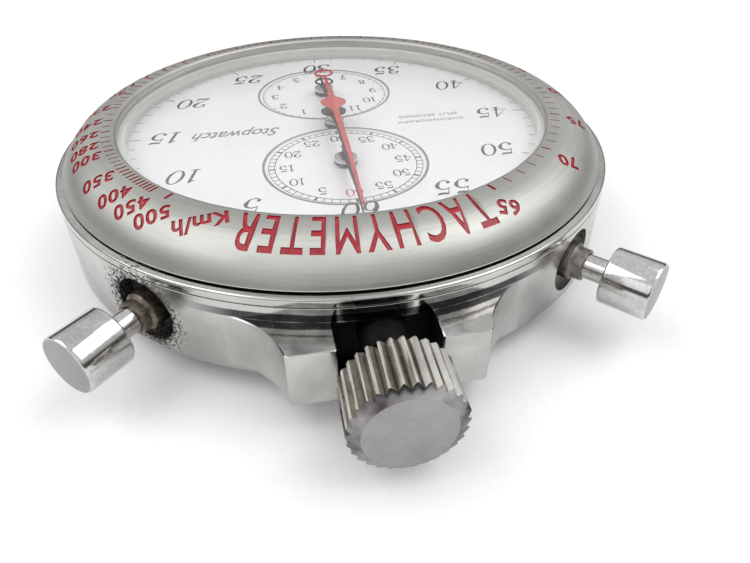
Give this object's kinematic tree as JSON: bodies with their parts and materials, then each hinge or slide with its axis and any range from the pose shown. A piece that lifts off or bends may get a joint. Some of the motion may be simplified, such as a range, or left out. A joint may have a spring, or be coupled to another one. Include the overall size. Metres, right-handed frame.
{
  "type": "mechanical stopwatch",
  "caption": "Round hand-held split-seconds mechanical stopwatch lying on its back, with a fluted winding crown between guards, angled pushers, two counters and a scale engraved on its bezel.",
  "frame": {"origin": "centre of the flat rest face of the case back, on the dial's axis", "axes": "+Z out of the dial, +Y towards the winding crown at 12 o'clock, +X towards 3 o'clock"},
  "size_m": [0.062, 0.0723, 0.0172],
  "materials": {
    "brushed_bezel": "circular brushed",
    "case_steel": "polished, a little worn",
    "crystal": "clear",
    "flange": "satin",
    "movement_ring": "turned",
    "dial": "matte white lacquer",
    "blued_steel": "blued",
    "red_lacquer": "gloss red",
    "tool_steel": "fine ground",
    "gilt_plate": "gilt, striped",
    "brass": "fine brushed",
    "ruby": "polished"
  },
  "bodies": {
    "case": {"case_middle": "case_steel", "case_back": "case_steel", "bezel": "brushed_bezel", "crystal": "crystal", "flange_ring": "flange", "movement_ring": "movement_ring", "dial": "dial", "crown_tube": "tool_steel", "start_pusher_tube": "tool_steel", "split_pusher_tube": "tool_steel", "main_plate": "gilt_plate", "barrel_bridge": "gilt_plate", "train_bridge": "gilt_plate", "balance_cock": "gilt_plate", "pallet_bridge": "gilt_plate", "jewels": "ruby", "bridge_screws": "blued_steel", "plate_screws": "blued_steel", "lever_screws": "blued_steel", "click_screw": "blued_steel", "hairspring": "blued_steel"},
    "stem_collar": {"stem_collar": "tool_steel"},
    "crown": {"crown": "case_steel", "winding_stem": "tool_steel"},
    "winding_pinion": {"winding_pinion": "tool_steel"},
    "crown_wheel": {"crown_wheel": "tool_steel"},
    "ratchet": {"ratchet_wheel": "tool_steel", "barrel_arbor": "tool_steel"},
    "click": {"click": "tool_steel"},
    "barrel": {"mainspring_barrel": "brass", "mainspring": "tool_steel"},
    "second_wheel": {"second_wheel": "brass"},
    "third_wheel": {"third_wheel": "brass"},
    "fourth_wheel": {"fourth_wheel": "brass"},
    "escape_wheel": {"escape_wheel": "tool_steel"},
    "pallet_fork": {"pallet_fork": "tool_steel"},
    "balance": {"balance_wheel": "brass"},
    "chronograph": {"chronograph_seconds_hand": "blued_steel", "chronograph_wheel": "brass"},
    "split": {"split_seconds_hand": "red_lacquer", "split_wheel": "brass"},
    "minute_transfer": {"minute_transfer_wheel": "brass"},
    "minute_counter": {"minute_counter_hand": "blued_steel", "minute_counter_wheel": "brass"},
    "hour_counter": {"hour_counter_hand": "blued_steel", "hour_counter_wheel": "brass"},
    "start_pusher": {"start_pusher": "case_steel"},
    "split_pusher": {"split_pusher": "case_steel"},
    "start_lever": {"start_lever": "tool_steel"},
    "split_lever": {"split_lever": "tool_steel"},
    "column_wheel": {"column_wheel": "tool_steel"},
    "split_column_wheel": {"split_column_wheel": "tool_steel"},
    "reset_hammer": {"reset_hammer": "tool_steel"},
    "split_clamp_upper": {"split_clamp_upper": "tool_steel"},
    "split_clamp_lower": {"split_clamp_lower": "tool_steel"}
  },
  "joints": [
    {"name": "crown_press", "type": "slide", "parent": "case", "child": "stem_collar", "axis": [0, -1, 0], "range_m": [0, 0.0012], "stiffness_N_per_m": 220, "springref_m": -0.004},
    {"name": "crown_turn", "type": "hinge", "parent": "stem_collar", "child": "crown", "pos_m": [0, 0.038, 0.00655], "axis": [0, 1, 0], "continuous": true},
    {"name": "winding_pinion_turn", "type": "hinge", "parent": "case", "child": "winding_pinion", "pos_m": [0, 0.017, 0.00655], "axis": [0, 1, 0], "continuous": true},
    {"name": "crown_wheel_turn", "type": "hinge", "parent": "case", "child": "crown_wheel", "pos_m": [0, 0.01362, 0.0045], "axis": [0, 0, 1], "continuous": true},
    {"name": "ratchet_turn", "type": "hinge", "parent": "case", "child": "ratchet", "pos_m": [-0.0095, 0.0105, 0.0045], "axis": [0, 0, 1], "continuous": true},
    {"name": "click_lift", "type": "hinge", "parent": "case", "child": "click", "pos_m": [-0.01642, 0.00565, 0.0045], "axis": [0, 0, 1], "range_deg": [0, 10], "stiffness_Nm_per_rad": 0.000001, "springref_deg": -11.46},
    {"name": "barrel_turn", "type": "hinge", "parent": "case", "child": "barrel", "pos_m": [-0.0095, 0.0105, 0.0077], "axis": [0, 0, 1], "continuous": true},
    {"name": "second_wheel_turn", "type": "hinge", "parent": "case", "child": "second_wheel", "pos_m": [-0.01171, 0.00224, 0.0075], "axis": [0, 0, 1], "continuous": true},
    {"name": "third_wheel_turn", "type": "hinge", "parent": "case", "child": "third_wheel", "pos_m": [-0.01065, -0.00379, 0.0075], "axis": [0, 0, 1], "continuous": true},
    {"name": "fourth_wheel_turn", "type": "hinge", "parent": "case", "child": "fourth_wheel", "pos_m": [-0.00737, -0.00769, 0.0075], "axis": [0, 0, 1], "continuous": true},
    {"name": "escape_wheel_turn", "type": "hinge", "parent": "case", "child": "escape_wheel", "pos_m": [-0.00624, -0.0119, 0.0075], "axis": [0, 0, 1], "continuous": true},
    {"name": "pallet_fork_rock", "type": "hinge", "parent": "case", "child": "pallet_fork", "pos_m": [-0.00328, -0.01398, 0.0079], "axis": [0, 0, 1], "range_deg": [-4, 4]},
    {"name": "balance_swing", "type": "hinge", "parent": "case", "child": "balance", "pos_m": [0.00062, -0.01623, 0.0065], "axis": [0, 0, 1], "range_deg": [-270, 270], "stiffness_Nm_per_rad": 0.0000015},
    {"name": "chronograph_turn", "type": "hinge", "parent": "case", "child": "chronograph", "pos_m": [0, 0, 0.0142], "axis": [0, 0, 1], "continuous": true},
    {"name": "split_turn", "type": "hinge", "parent": "case", "child": "split", "pos_m": [0, 0, 0.0153], "axis": [0, 0, 1], "continuous": true},
    {"name": "minute_transfer_turn", "type": "hinge", "parent": "case", "child": "minute_transfer", "pos_m": [0.00113, 0.00477, 0.0116], "axis": [0, 0, 1], "continuous": true},
    {"name": "minute_counter_turn", "type": "hinge", "parent": "case", "child": "minute_counter", "pos_m": [0, 0.0097, 0.013], "axis": [0, 0, 1], "continuous": true},
    {"name": "hour_counter_turn", "type": "hinge", "parent": "case", "child": "hour_counter", "pos_m": [0, -0.01029, 0.013], "axis": [0, 0, 1], "continuous": true},
    {"name": "start_pusher_press", "type": "slide", "parent": "case", "child": "start_pusher", "axis": [-0.6626, -0.749, 0], "range_m": [0, 0.0013], "stiffness_N_per_m": 160, "springref_m": -0.004},
    {"name": "split_pusher_press", "type": "slide", "parent": "case", "child": "split_pusher", "axis": [0.6626, -0.749, 0], "range_m": [0, 0.0013], "stiffness_N_per_m": 160, "springref_m": -0.004},
    {"name": "start_lever_tilt", "type": "hinge", "parent": "case", "child": "start_lever", "pos_m": [0.0194, 0.0084, 0.0035], "axis": [0, 0, 1], "range_deg": [0, 9]},
    {"name": "split_lever_tilt", "type": "hinge", "parent": "case", "child": "split_lever", "pos_m": [-0.0206, 0.0034, 0.0035], "axis": [0, 0, 1], "range_deg": [-9, 0]},
    {"name": "column_wheel_turn", "type": "hinge", "parent": "case", "child": "column_wheel", "pos_m": [0.0086, 0.0094, 0.0036], "axis": [0, 0, 1], "continuous": true},
    {"name": "split_column_wheel_turn", "type": "hinge", "parent": "case", "child": "split_column_wheel", "pos_m": [-0.0122, -0.0016, 0.0036], "axis": [0, 0, 1], "continuous": true},
    {"name": "reset_hammer_lift", "type": "hinge", "parent": "case", "child": "reset_hammer", "pos_m": [0.0098, -0.0066, 0.0042], "axis": [0, 0, 1], "range_deg": [-6, 0]},
    {"name": "split_clamp_upper_open", "type": "hinge", "parent": "case", "child": "split_clamp_upper", "pos_m": [-0.0088, 0.0034, 0.0032], "axis": [0, 0, 1], "range_deg": [0, 5]},
    {"name": "split_clamp_lower_open", "type": "hinge", "parent": "case", "child": "split_clamp_lower", "pos_m": [-0.0088, -0.0052, 0.0032], "axis": [0, 0, 1], "range_deg": [-5, 0]}
  ],
  "couplings": [
    {"joint": "winding_pinion_turn", "follows": "crown_turn", "ratio": 1},
    {"joint": "crown_wheel_turn", "follows": "crown_turn", "ratio": 0.5},
    {"joint": "ratchet_turn", "follows": "crown_turn", "ratio": -0.3},
    {"joint": "third_wheel_turn", "follows": "fourth_wheel_turn", "ratio": -0.13333},
    {"joint": "second_wheel_turn", "follows": "fourth_wheel_turn", "ratio": 0.016667},
    {"joint": "barrel_turn", "follows": "fourth_wheel_turn", "ratio": -0.0020833},
    {"joint": "escape_wheel_turn", "follows": "fourth_wheel_turn", "ratio": -8.5714},
    {"joint": "minute_transfer_turn", "follows": "chronograph_turn", "ratio": -0.16667},
    {"joint": "minute_counter_turn", "follows": "chronograph_turn", "ratio": 0.016667},
    {"joint": "hour_counter_turn", "follows": "chronograph_turn", "ratio": 0.0013889},
    {"joint": "start_lever_tilt", "follows": "start_pusher_press", "rad_per_m": 111.56},
    {"joint": "split_lever_tilt", "follows": "split_pusher_press", "rad_per_m": -75.898}
  ]
}
